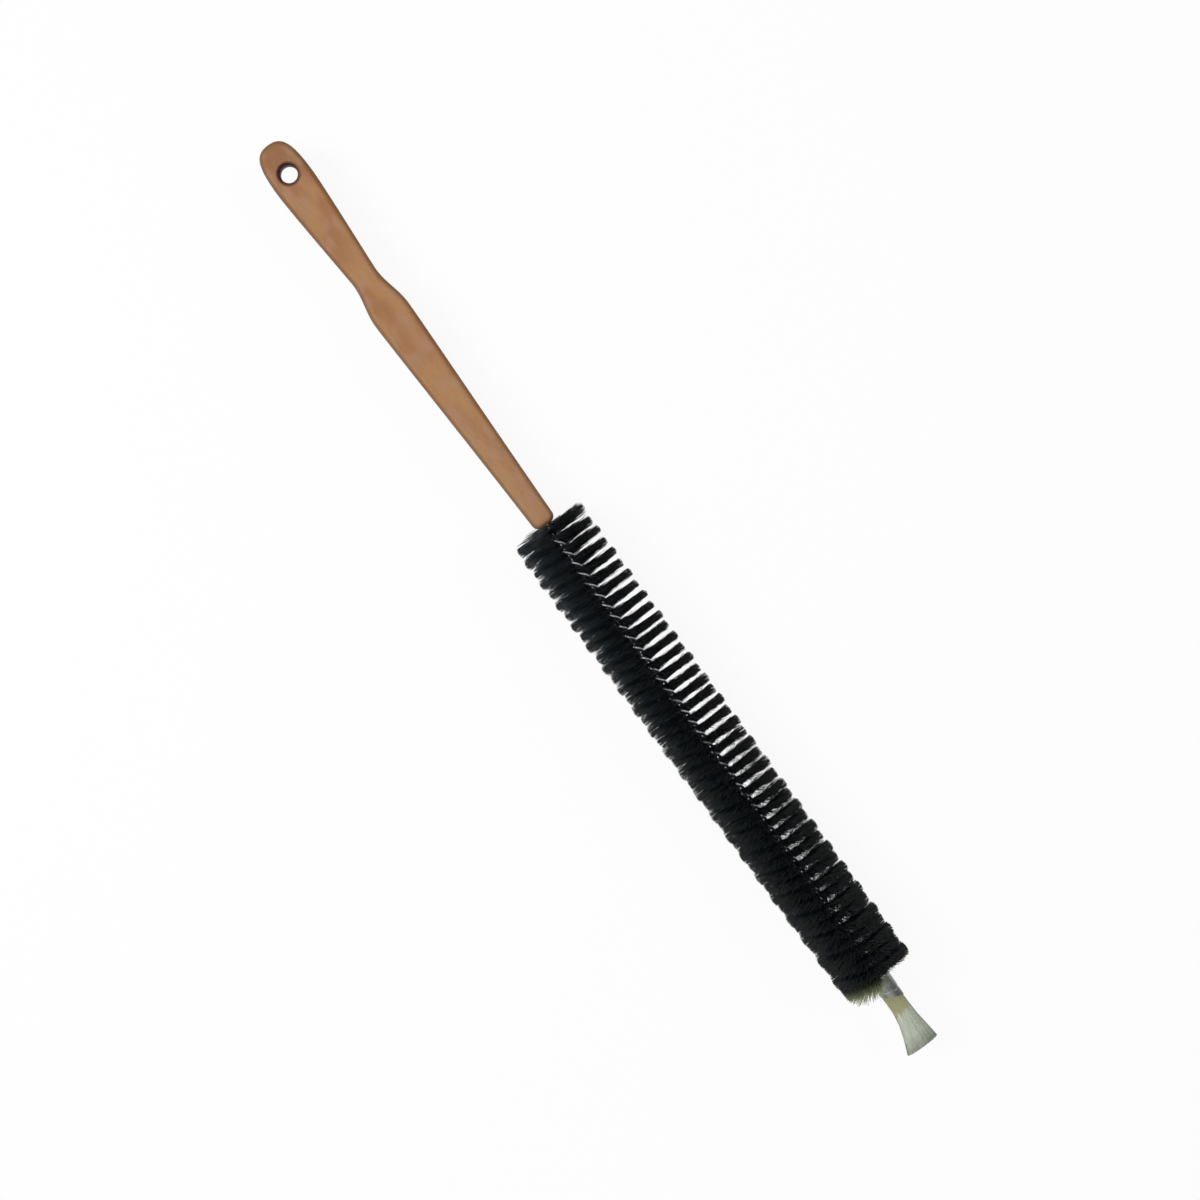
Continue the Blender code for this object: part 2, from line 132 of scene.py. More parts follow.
class Bench:
    """The node tree of one material, and the one method that adds a node to it."""

    def __init__(self, name: str) -> None:
        """Makes a material with a Principled shader.

        Args:
            name: the material's name.
        """
        self.material = bpy.data.materials.new(name)
        self.material.use_nodes = True
        self.tree = self.material.node_tree
        self.shader = self.tree.nodes["Principled BSDF"]

    def node(
        self,
        kind: str,
        settings: dict[str, Any] | None = None,
        inputs: dict[str | int, Any] | None = None,
        output: str | int = 0,
    ) -> Shade:
        """Adds a node.

        Args:
            kind: the node's type.
            settings: properties that are set first.
            inputs: values or links by socket name or number.
            output: the output that is wanted.

        Returns:
            That output.
        """
        added = self.tree.nodes.new(kind)
        for key, value in (settings or {}).items():
            setattr(added, key, value)
        for key, value in (inputs or {}).items():
            self._feed(added.inputs[key], value)
        return Shade(self, added.outputs[output])

    def _feed(self, socket: bpy.types.NodeSocket, value: Any) -> None:
        """Links or sets one input.

        Args:
            socket: the input.
            value: a Shade, a number or a tuple.
        """
        if isinstance(value, Shade):
            self.tree.links.new(value.socket, socket)
        elif isinstance(value, tuple) and socket.type == "RGBA":
            socket.default_value = (*value, 1)
        else:
            socket.default_value = value

    def place(self) -> Shade:
        """The point's place in the row frame."""
        return self.node("ShaderNodeTexCoord", output="Object")

    def along(self, axis: Axis) -> Shade:
        """One coordinate of the point's place."""
        return self.node("ShaderNodeSeparateXYZ", None, {0: self.place()}, axis.value)

    def stretched(self, scale: Point) -> Shade:
        """The point's place with each axis multiplied by its own factor."""
        return self.node("ShaderNodeVectorMath", {"operation": "MULTIPLY"}, {0: self.place(), 1: scale})

    def noise(self, scale: Point, detail: float = 2.0, roughness: float = 0.5) -> Shade:
        """Noise of 0.3 to 0.7 for the most part, with its scale along each axis in cells per metre."""
        inputs = {"Vector": self.stretched(scale), "Scale": 1.0, "Detail": detail, "Roughness": roughness}
        return self.node("ShaderNodeTexNoise", None, inputs)

    def off_line(self, counted: Point, line: Point) -> Shade:
        """The distance in metres from a line: counted is 1 for each axis across it, 0 along it."""
        inputs = {0: self.stretched(counted), 1: line}
        return self.node("ShaderNodeVectorMath", {"operation": "DISTANCE"}, inputs, "Value")

    def mix(self, factor: Any, first: Any, second: Any) -> Shade:
        """A mix of two colours, with a factor of 0 for the first and 1 for the second."""
        inputs = {0: factor, 6: first, 7: second}
        return self.node("ShaderNodeMix", {"data_type": "RGBA"}, inputs, 2)

    def bump(self, height: Shade, distance: float, strength: float = 1.0) -> Shade:
        """A normal that is bent by a height, given as a share of a distance in metres."""
        inputs = {"Strength": strength, "Distance": distance, "Height": height}
        return self.node("ShaderNodeBump", None, inputs)

    def dress(self, **sockets: Any) -> bpy.types.Material:
        """Feeds the Principled shader's sockets.

        Args:
            **sockets: values or links, with _ for each space of the socket's name.

        Returns:
            The material.
        """
        for key, value in sockets.items():
            self._feed(self.shader.inputs[key.replace("_", " ")], value)
        return self.material


# Finishes


@dataclass(frozen=True)
class OiledWood:
    """Warm brown wood under an oil finish, its grain along X, handled darker at the grip."""

    grip_end: float
    joint: float
    hole_x: float
    hole_radius: float
    axis_height: float
    pale: Colour = (0.400, 0.202, 0.080)
    warm: Colour = (0.335, 0.152, 0.060)
    handled: Colour = (0.270, 0.112, 0.048)
    dry: Colour = (0.385, 0.225, 0.116)
    rubbed: Colour = (0.385, 0.208, 0.118)
    pore: Colour = (0.21, 0.085, 0.038)
    # painted shade on the rounded sides, which turn away from the lamps
    edge_shade: Colour = (0.120, 0.058, 0.028)
    # the next two colours are painted shade round the hole's rounded rim and a painted shadow on the hole's
    # wall
    rim: Colour = (0.100, 0.040, 0.022)
    hole_shadow: Colour = (0.040, 0.014, 0.018)
    handled_run: float = 0.06
    dry_run: float = 0.13
    side_within: float = 0.0048
    face_from: float = 0.0060
    grain_depth: float = 0.00006
    roughness: float = 0.54
    sheen: float = 0.28

    def material(self) -> bpy.types.Material:
        """The wood's material.

        Returns:
            A new material.
        """
        bench = Bench("oiled_wood")
        bands = bench.noise((34.0, 105.0, 60.0), 2.0, 0.5)
        streaks = bench.noise((40.0, 1100.0, 600.0), 3.0, 0.6)
        pores = bench.noise((110.0, 3600.0, 2400.0), 2.0, 0.6)
        ground = bench.mix(bands.clipped(0.32, 0.68), self.warm, self.pale)
        along = bench.along(Axis.X) + (bands - 0.5) * 0.05
        at_grip = 1 - along.clipped(self.grip_end, self.grip_end + self.handled_run)
        worn = bench.mix(at_grip * 0.7, ground, self.handled)
        aired = bench.mix(along.clipped(self.joint - self.dry_run, self.joint) * 0.5, worn, self.dry)
        spots = bench.noise((75.0, 130.0, 90.0), 1.0, 0.4)
        patched = bench.mix(spots.clipped(0.42, 0.76) * 0.8, aired, self.rubbed)
        streaked = bench.mix(streaks.clipped(0.48, 0.74) * 0.20, patched, self.warm)
        grained = bench.mix(pores.clipped(0.60, 0.76) * 0.26, streaked, self.pore)
        # painted shade on the rounded sides
        edge_shaded = bench.mix(self.edge_shade_mask(bench) * (0.30 + bands * 0.3), grained, self.edge_shade)
        # painted shade round the hole's rounded rim, and a painted shadow on its wall, set towards the grip
        # end
        rim_shaded = bench.mix(self.hole_shade_mask(bench, 0.0014, 0.0030) * 0.85, edge_shaded, self.rim)
        colour = bench.mix(self.hole_shade_mask(bench, 0.0002, 0.0016, 0.0010), rim_shaded, self.hole_shadow)
        rough = self.roughness + (streaks - 0.5) * 0.24 + pores.clipped(0.60, 0.74) * 0.14
        normal = bench.bump(streaks * 0.6 - pores.clipped(0.58, 0.72), self.grain_depth, 0.8)
        return bench.dress(Base_Color=colour, Roughness=rough, Normal=normal, Specular_IOR_Level=self.sheen)

    def edge_shade_mask(self, bench: Bench) -> Shade:
        """0 on the broad faces and 1 on the rounded sides: the mask of the painted shade there."""
        off_middle = abs(bench.along(Axis.Z) - self.axis_height)
        return 1 - off_middle.clipped(self.side_within, self.face_from)

    def hole_shade_mask(self, bench: Bench, inner: float, outer: float, aside: float = 0.0) -> Shade:
        """1 within inner of the hole's wall and 0 past outer, its middle moved towards the grip end: the mask
        of the painted shade in the hole.
        """
        distance = bench.off_line((1.0, 1.0, 0.0), (self.hole_x - aside, -aside / 2, 0.0))
        return 1 - distance.clipped(self.hole_radius + inner, self.hole_radius + outer)


@dataclass(frozen=True)
class DrawnMetal:
    """Grey metal with a fine grain, dulled in cloudy patches."""

    name: str
    bright: Colour = (0.74, 0.77, 0.80)
    dull: Colour = (0.50, 0.53, 0.55)
    roughness: float = 0.36
    grain: Point = (300.0, 300.0, 300.0)
    patch: Point = (90.0, 200.0, 200.0)
    grain_depth: float = 0.00004

    def material(self) -> bpy.types.Material:
        """The metal's material.

        Returns:
            A new material.
        """
        bench = Bench(self.name)
        clouds = bench.noise(self.patch, 3.0, 0.55)
        grain = bench.noise(self.grain, 2.0, 0.6)
        colour = self.tone(bench, clouds)
        rough = self.roughness + (clouds - 0.5) * 0.3 + (grain - 0.5) * 0.2
        normal = bench.bump(grain, self.grain_depth, 0.5)
        return bench.dress(Base_Color=colour, Roughness=rough, Normal=normal, Metallic=1.0)

    def tone(self, bench: Bench, clouds: Shade) -> Shade:
        """The metal's colour, dull where the clouds are."""
        return bench.mix(clouds.clipped(0.35, 0.68), self.bright, self.dull)


@dataclass(frozen=True)
class ShadePaintedMetal(DrawnMetal):
    """The same metal, with painted shade darkening it towards one side or end."""

    # the defaults put the painted shade towards +Y, as on the ferrule
    axis: Axis = Axis.Y
    unshaded_at: float = -0.0015
    shaded_at: float = 0.0052
    ragged: float = 0.004
    # the colour of the painted shade
    shade_colour: Colour = (0.13, 0.135, 0.12)
    strength: float = 0.8

    def tone(self, bench: Bench, clouds: Shade) -> Shade:
        """The metal's colour with the painted shade over it.

        Args:
            bench: the material's bench.
            clouds: the pattern of dull patches.

        Returns:
            A colour.
        """
        # the painted shade rises along the axis, its edge ragged with the clouds
        past = bench.along(self.axis) - self.unshaded_at + (clouds - 0.5) * self.ragged
        shade_share = (past * (1 / (self.shaded_at - self.unshaded_at))).clipped(0.0, 1.0)
        return bench.mix(shade_share * self.strength, super().tone(bench, clouds), self.shade_colour)


@dataclass(frozen=True)
class BlackBristle:
    """Near-black hair: faded near the joint, paler at its tips, and olive in the loose fringe at its end."""

    axis_height: float
    tips_at: float
    head_starts: float
    head_ends: float
    root: Colour = (0.0105, 0.0180, 0.0275)
    middle: Colour = (0.0085, 0.0115, 0.0135)
    faded: Colour = (0.026, 0.033, 0.039)
    tip: Colour = (0.019, 0.020, 0.0130)
    # painted shade for the blades on +Y, the side turned from the key lamp
    shaded: Colour = (0.0040, 0.0046, 0.0052)
    loose: Colour = (0.42, 0.46, 0.26)
    faded_run: float = 0.15
    roughness: float = 0.42
    sheen: float = 0.22

    def material(self) -> bpy.types.Material:
        """The hair's material.

        Returns:
            A new material.
        """
        bench = Bench("black_bristle")
        radius = bench.off_line((0.0, 1.0, 1.0), (0.0, 0.0, self.axis_height))
        locks = bench.noise((420.0, 260.0, 260.0), 2.0, 0.6)
        body = bench.mix(locks.clipped(0.35, 0.65), self.root, self.middle)
        ends = radius.clipped(self.tips_at * 0.72, self.tips_at * 1.02) * (0.25 + locks * 0.9)
        tipped = bench.mix(ends, body, self.tip)
        along = bench.along(Axis.X)
        near_joint = 1 - along.clipped(self.head_starts, self.head_starts + self.faded_run)
        aired = bench.mix(near_joint * (0.3 + locks * 0.6), tipped, self.faded)
        # painted shade on the +Y blades, fading out towards the tip where the blades close up
        open_blades = 1 - along.clipped(self.head_ends - 0.20, self.head_ends - 0.05)
        shaded = bench.mix(bench.along(Axis.Y).clipped(0.002, 0.012) * open_blades * 0.9, aired, self.shaded)
        past = along.clipped(self.head_ends - 0.0055, self.head_ends + 0.0045)
        colour = bench.mix(past * (0.55 + locks * 0.6), shaded, self.loose)
        rough = self.roughness + (locks - 0.5) * 0.3
        return bench.dress(Base_Color=colour, Roughness=rough, Specular_IOR_Level=self.sheen)


@dataclass(frozen=True)
class PaleBristle:
    """Pale grey-green hair with a tan neck, whose end lies at a slant."""

    neck_ends: float
    axis_height: float
    pale: Colour = (0.62, 0.65, 0.53)
    cool: Colour = (0.53, 0.57, 0.48)
    tan: Colour = (0.405, 0.395, 0.225)
    # dull is painted shade: on the +Y side, turned from the key lamp, and on the hairs at the tuft's low
    # sides
    dull: Colour = (0.36, 0.39, 0.32)
    ragged: float = 0.012
    slant: float = 0.35
    roughness: float = 0.5

    def material(self) -> bpy.types.Material:
        """The hair's material.

        Returns:
            A new material.
        """
        bench = Bench("pale_bristle")
        locks = bench.noise((22.0, 420.0, 420.0), 2.0, 0.5)
        along = bench.along(Axis.X) + (locks - 0.5) * self.ragged + bench.along(Axis.Y) * self.slant
        tinted = bench.mix(locks.clipped(0.32, 0.68), self.cool, self.pale)
        # painted shade towards the +Y side
        across = bench.mix(bench.along(Axis.Y).clipped(0.0000, 0.0080) * 0.5, tinted, self.dull)
        off_middle = abs(bench.along(Axis.Z) - self.axis_height)
        # painted shade on the hairs that lie low at the tuft's sides
        shaded = bench.mix((1 - off_middle.clipped(0.0006, 0.0018)) * 0.6, across, self.dull)
        colour = bench.mix(along.clipped(self.neck_ends - 0.001, self.neck_ends + 0.0035), self.tan, shaded)
        return bench.dress(Base_Color=colour, Roughness=self.roughness + (locks - 0.5) * 0.3)


@dataclass(frozen=True)
class StudioFloor:
    """A plain pale floor that reads white and keeps a soft shadow."""

    paint: Colour = (0.55, 0.55, 0.545)
    roughness: float = 0.55
    whiteness: float = 0.86
    white: float = 1.06
    white_rays: tuple[str, ...] = ("Is Camera Ray", "Is Glossy Ray", "Is Transmission Ray")

    def material(self) -> bpy.types.Material:
        """The floor's material.

        Returns:
            A new material.
        """
        bench = Bench("studio_floor")
        mottle = bench.noise((14.0, 14.0, 14.0), 2.0, 0.5)
        bench.dress(Base_Color=self.paint, Roughness=self.roughness + (mottle - 0.5) * 0.1)
        rays = [bench.node("ShaderNodeLightPath", output=name) for name in self.white_rays]
        white = bench.node("ShaderNodeEmission", None, {"Color": (1.0, 1.0, 1.0), "Strength": self.white})
        shown = sum(rays[1:], rays[0]) * self.whiteness
        inputs = {0: shown, 1: Shade(bench, bench.shader.outputs[0]), 2: white}
        blend = bench.node("ShaderNodeMixShader", None, inputs)
        bench.tree.links.new(blend.socket, bench.tree.nodes["Material Output"].inputs["Surface"])
        return bench.material


# What all the pieces are made with


@dataclass(frozen=True)
class BrushAxis:
    """The brush's own line: places along it are measured from the grip end."""

    grip_end: float
    height: float

    @classmethod
    def of_frame(cls) -> "BrushAxis":
        """The axis that the CAD frame stands on."""
        low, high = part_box("ferrule")
        return cls(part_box("handle")[0].x, (low.z + high.z) / 2)

    def x(self, along: float) -> float:
        """The X of a place that far from the grip end."""
        return self.grip_end + along


class Workshop:
    """Makes meshes into pieces of the brush."""

    def __init__(self) -> None:
        """Opens a collection for the pieces."""
        self.collection = bpy.data.collections.new("radiator_brush_looks")
        bpy.context.scene.collection.children.link(self.collection)

    def object_of(self, name: str, data: bpy.types.ID) -> bpy.types.Object:
        """A new object in the collection.

        Args:
            name: its name.
            data: its mesh or curve.

        Returns:
            The object.
        """
        made = bpy.data.objects.new(name, data)
        self.collection.objects.link(made)
        return made

    def baked(self, source: bpy.types.Object, name: str) -> bpy.types.Mesh:
        """The mesh of an object with its modifiers applied. The object goes.

        Args:
            source: a mesh or curve object.
            name: the new mesh's name.

        Returns:
            The mesh.
        """
        bpy.context.view_layer.update()
        graph = bpy.context.evaluated_depsgraph_get()
        mesh = bpy.data.meshes.new_from_object(source.evaluated_get(graph), depsgraph=graph)
        mesh.name = name
        bpy.data.objects.remove(source, do_unlink=True)
        return mesh

    def turned(self, name: str, profile: Sequence[tuple[float, float]], steps: int) -> bpy.types.Mesh:
        """A closed profile swept once round the X axis.

        Args:
            name: the mesh's name.
            profile: (x, radius) points of a closed outline.
            steps: the number of facets round the axis.

        Returns:
            The mesh, its faces looking out.
        """
        bm = bmesh.new()
        points = [bm.verts.new((x, 0, radius)) for x, radius in profile]
        edges = [bm.edges.new(pair) for pair in zip(points, points[1:] + points[:1])]
        bmesh.ops.spin(
            bm, geom=[*points, *edges], cent=(0, 0, 0), axis=(1, 0, 0), angle=2 * math.pi, steps=steps,
            use_merge=True,
        )
        bmesh.ops.remove_doubles(bm, verts=bm.verts, dist=1e-6)
        bmesh.ops.recalc_face_normals(bm, faces=bm.faces)
        mesh = bpy.data.meshes.new(name)
        bm.to_mesh(mesh)
        bm.free()
        return mesh

    def finish_piece(
        self, name: str, mesh: bpy.types.Mesh, material: bpy.types.Material, nodes: Sequence[str]
    ) -> bpy.types.Object:
        """Turns a mesh into a piece that rides on the brush and stands for CAD nodes.

        Args:
            name: the piece's name.
            mesh: its mesh, in the row frame.
            material: its material.
            nodes: the CAD nodes that it replaces.

        Returns:
            The piece.
        """
        mesh.materials.clear()
        mesh.materials.append(material)
        mesh.shade_smooth()
        piece = self.object_of(name, mesh)
        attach(piece, BODY)
        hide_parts(*nodes)
        LOG.info("%s: %d faces, stands for %s", name, len(mesh.polygons), ", ".join(nodes))
        return piece


@dataclass
class Hairs:
    """Many hairs at once: each a tapered three-sided rod along a line of points."""

    lines: np.ndarray
    radii: np.ndarray
    sides: int = 3

    def mesh(self, name: str, rng: np.random.Generator) -> bpy.types.Mesh:
        """One mesh of all the hairs, each a closed rod.

        Args:
            name: the mesh's name.
            rng: turns each hair's section by its own angle.

        Returns:
            The mesh.
        """
        count, rings, _ = self.lines.shape
        ahead = np.gradient(self.lines, axis=1)
        ahead /= np.linalg.norm(ahead, axis=2, keepdims=True)
        helper = np.where(np.abs(ahead[..., :1]) > 0.8, [[[0.0, 0.0, 1.0]]], [[[1.0, 0.0, 0.0]]])
        first = np.cross(ahead, helper)
        first /= np.linalg.norm(first, axis=2, keepdims=True)
        second = np.cross(ahead, first)
        start = rng.uniform(0, 2 * math.pi, (count, 1, 1))
        turn = start + np.arange(self.sides) * 2 * math.pi / self.sides
        ring = np.cos(turn)[..., None] * first[:, :, None, :]
        ring = ring + np.sin(turn)[..., None] * second[:, :, None, :]
        points = self.lines[:, :, None, :] + ring * self.radii[:, :, None, None]
        mesh = bpy.data.meshes.new(name)
        mesh.from_pydata(points.reshape(-1, 3).tolist(), [], self._faces(count, rings))
        return mesh

    def _faces(self, count: int, rings: int) -> list[list[int]]:
        """The faces of all the rods.

        Args:
            count: the number of hairs.
            rings: the points along each.

        Returns:
            Lists of vertex numbers.
        """
        corner = np.arange(self.sides)
        after = (corner + 1) % self.sides
        low = np.arange(rings - 1)[:, None] * self.sides
        walls = np.stack([low + corner, low + after, low + self.sides + after, low + self.sides + corner], -1)
        first_of = np.arange(count) * rings * self.sides
        all_walls = first_of[:, None, None] + walls.reshape(1, -1, 4)
        root = first_of[:, None] + corner[::-1]
        tip = first_of[:, None] + (rings - 1) * self.sides + corner
        return [*all_walls.reshape(-1, 4).tolist(), *root.tolist(), *tip.tolist()]


# Sub-assemblies


@dataclass
class Handle:
    """The flat wooden handle, with its waist, belly, rounded edges and hanging hole.

    A pull is the length of a curve handle, as a share of the stretch or width that it follows.
    """

    axis: BrushAxis
    length: float = 0.2905
    thickness: float = 0.012
    edge_round: float = 0.004
    grip_width: float = 0.0265
    grip_widest_at: float = 0.028
    waist_width: float = 0.0175
    waist_at: float = 0.1
    belly_width: float = 0.0254
    belly_at: float = 0.1285
    neck_width: float = 0.0155
    neck_corner: float = 0.005
    hole_width: float = 0.0108
    hole_at: float = 0.022
    hole_round: float = 0.0026
    bore_radius: float = 0.00315
    bore_depth: float = 0.055
    end_pull: float = 0.74
    grip_pulls: tuple[float, float] = (0.79, 0.17)
    waist_pulls: tuple[float, float] = (0.04, 0.38)
    belly_pulls: tuple[float, float] = (0.38, 0.08)
    neck_pull: float = 0.46
    neck_slope: float = 0.027
    corner_pull: float = 0.5523
    overcut: float = 0.003
    outline_steps: int = 24
    round_steps: int = 9
    hole_steps: int = 72
    bore_steps: int = 40

    def knots(self) -> list[tuple[tuple[float, float], ...]]:
        """The outline's +Y side, grip end first.

        Returns:
            Each knot's place and its two curve handles, as (x, y) pairs.
        """
        corner_at = self.length - self.neck_corner
        grip_run = self.waist_at - self.grip_widest_at
        belly_run = self.belly_at - self.waist_at
        neck_run = corner_at - self.belly_at
        end = self.grip_width / 2 * self.end_pull
        neck = neck_run * self.neck_pull
        corner = self.neck_corner * self.corner_pull
        runs = [self.grip_widest_at, grip_run, belly_run, neck_run]
        places = [self.grip_widest_at, self.waist_at, self.belly_at]
        widths = [self.grip_width, self.waist_width, self.belly_width]
        pulls = [self.grip_pulls, self.waist_pulls, self.belly_pulls]
        swells = [
            ((at, width / 2), (-before * back, 0), (after * ahead, 0))
            for at, width, (back, ahead), before, after in zip(places, widths, pulls, runs, runs[1:])
        ]
        return [
            ((0, 0), (0, -end), (0, end)),
            *swells,
            ((corner_at, self.neck_width / 2), (-neck, neck * self.neck_slope), (corner, 0)),
            ((self.length, self.neck_width / 2 - self.neck_corner), (0, corner), (0, 0)),
        ]

    def outline(self) -> bpy.types.Curve:
        """The handle's outline as a flat curve of its thickness.

        Returns:
            The curve.
        """
        curve = bpy.data.curves.new("handle_outline", "CURVE")
        curve.dimensions = "2D"
        curve.fill_mode = "BOTH"
        curve.extrude = self.thickness / 2
        curve.resolution_u = self.outline_steps
        knots = self.knots()
        mirrored = [((x, -y), (bx, -by), (ax, -ay)) for (x, y), (ax, ay), (bx, by) in reversed(knots[1:])]
        spline = curve.splines.new("BEZIER")
        spline.bezier_points.add(len(knots) + len(mirrored) - 1)
        for point, ((x, y), back, ahead) in zip(spline.bezier_points, knots + mirrored):
            point.handle_left_type = point.handle_right_type = "FREE"
            point.co = (x, y, 0)
            point.handle_left = (x + back[0], y + back[1], 0)
            point.handle_right = (x + ahead[0], y + ahead[1], 0)
        spline.use_cyclic_u = True
        return curve

    def blank(self, shop: Workshop) -> bpy.types.Object:
        """The outline as a solid with one face for each cap.

        Args:
            shop: makes its objects.

        Returns:
            The solid, in the handle's own frame.
        """
        drawn = shop.baked(shop.object_of("handle_outline", self.outline()), "handle_blank")
        bm = bmesh.new()
        bm.from_mesh(drawn)
        bmesh.ops.remove_doubles(bm, verts=bm.verts, dist=1e-5)
        for side in (1, -1):
            bmesh.ops.dissolve_faces(bm, faces=[face for face in bm.faces if face.normal.z * side > 0.9])
        bmesh.ops.recalc_face_normals(bm, faces=bm.faces)
        bm.to_mesh(drawn)
        bm.free()
        return shop.object_of("handle_blank", drawn)

    def hole_tool(self, shop: Workshop) -> bpy.types.Object:
        """A turned tool that cuts the hanging hole and rounds its rims.

        Args:
            shop: makes its objects.

        Returns:
            The tool, in the handle's own frame.
        """
        face = self.thickness / 2
        radius = self.hole_width / 2
        nearly_flat = math.radians(86)
        rim = []
        for step in range(self.round_steps + 1):
            angle = nearly_flat * step / self.round_steps
            out = radius + self.hole_round * (1 - math.cos(angle))
            rim.append((face - self.hole_round * (1 - math.sin(angle)), out))
        wide = radius + self.hole_round + self.overcut
        half = [*rim, (face + self.overcut, wide), (face + self.overcut, 0)]
        profile = [*[(-x, r) for x, r in reversed(half)], *half]
        mesh = shop.turned("hole_tool", profile, self.hole_steps)
        upright = Matrix.Rotation(-math.pi / 2, 4, "Y")
        mesh.transform(Matrix.Translation((self.hole_at, 0, 0)) @ upright)
        return shop.object_of("hole_tool", mesh)

    def bore_tool(self, shop: Workshop) -> bpy.types.Object:
        """A tool that cuts the wires' bore.

        Args:
            shop: makes its objects.

        Returns:
            The tool, in the handle's own frame.
        """
        start = self.length - self.bore_depth
        end = self.length + self.overcut
        profile = [(start, 0), (end, 0), (end, self.bore_radius), (start, self.bore_radius)]
        return shop.object_of("bore_tool", shop.turned("bore_tool", profile, self.bore_steps))

    def build(self, shop: Workshop, wood: bpy.types.Material) -> bpy.types.Object:
        """Shapes the handle and dresses it.

        Args:
            shop: makes its pieces.
            wood: its material.

        Returns:
            The piece.
        """
        blank = self.blank(shop)
        bevel = blank.modifiers.new("Rounded edges", "BEVEL")
        bevel.width = self.edge_round
        bevel.segments = self.round_steps
        bevel.limit_method = "ANGLE"
        bevel.angle_limit = math.radians(30)
        bevel.use_clamp_overlap = False
        tools = [self.hole_tool(shop), self.bore_tool(shop)]
        for tool in tools:
            cut = blank.modifiers.new(tool.name, "BOOLEAN")
            cut.operation = "DIFFERENCE"
            cut.solver = "EXACT"
            cut.object = tool
        mesh = shop.baked(blank, "handle_wood")
        for tool in tools:
            bpy.data.objects.remove(tool, do_unlink=True)
        mesh.transform(Matrix.Translation((self.axis.grip_end, 0, self.axis.height)))
        piece = shop.finish_piece("handle_wood", mesh, wood, ["handle"])
        mesh.set_sharp_from_angle(angle=math.radians(40))
        weighted = piece.modifiers.new("Flat faces stay flat", "WEIGHTED_NORMAL")
        weighted.keep_sharp = True
        weighted.weight = 100
        return piece


@dataclass
class CoreWires:
    """The two galvanised wires that are twisted together, left-handed, with the bristle between."""

    axis: BrushAxis
    head_at: float
    half_pitch: float
    starts_at: float = 0.2365
    ends_at: float = 0.6546
    wire_radius: float = 0.0011
    offset: float = 0.00175
    dark_to: float = 0.0065
    unshaded_from: float = 0.0095
    points_a_turn: int = 28

    def path(self, side: int) -> list[tuple[float, float, float, float]]:
        """The line of one wire.

        Args:
            side: 1 or -1, for the side of the bristle that it runs on.

        Returns:
            The spline's points.
        """
        steps = round((self.ends_at - self.starts_at) / self.half_pitch * self.points_a_turn / 2)
        line = []
        for i in range(steps + 1):
            along = self.starts_at + (self.ends_at - self.starts_at) * i / steps
            twisted = HALF_TURN * (along - self.head_at) / self.half_pitch
            angle = HALF_TURN / 2 - twisted + side * HALF_TURN / 2
            y = self.offset * math.cos(angle)
            z = self.axis.height + self.offset * math.sin(angle)
            line.append((self.axis.x(along), y, z, 1.0))
        return line

    def finish(self) -> ShadePaintedMetal:
        """Galvanised metal, with painted shade where the first turns of bristle crowd over it.

        Returns:
            The finish.
        """
        return ShadePaintedMetal(
            "galvanised_wire",
            axis=Axis.X,
            unshaded_at=self.axis.x(self.head_at + self.unshaded_from),
            shaded_at=self.axis.x(self.head_at + self.dark_to),
            # near-black painted shade under the crowded first turns of bristle
            shade_colour=(0.008, 0.009, 0.011),
            strength=1.0,
        )

    def build(self, shop: Workshop, metal: bpy.types.Material) -> list[bpy.types.Object]:
        """Draws both wires and dresses them.

        Args:
            shop: makes its pieces.
            metal: their material.

        Returns:
            The pieces.
        """
        pieces = []
        for name, side in (("core_wire_a", 1), ("core_wire_b", -1)):
            curve = bpy.data.curves.new(name, "CURVE")
            curve.dimensions = "3D"
            curve.bevel_depth = self.wire_radius
            curve.bevel_resolution = 3
            curve.use_fill_caps = True
            line = self.path(side)
            spline = curve.splines.new("POLY")
            spline.points.add(len(line) - 1)
            for point, place in zip(spline.points, line):
                point.co = place
            mesh = shop.baked(shop.object_of(name + "_line", curve), name + "_twist")
            pieces.append(shop.finish_piece(name + "_twist", mesh, metal, [name]))
        return pieces


class Side(Enum):
    """The two ends of each folded hair."""

    LONG = 1
    SHORT = -1


def rise(values: np.ndarray, start: float, run: float) -> np.ndarray:
    """A straight rise from 0 at a start to 1 a run later, level before and after."""
    return np.clip((values - start) / run, 0, 1)


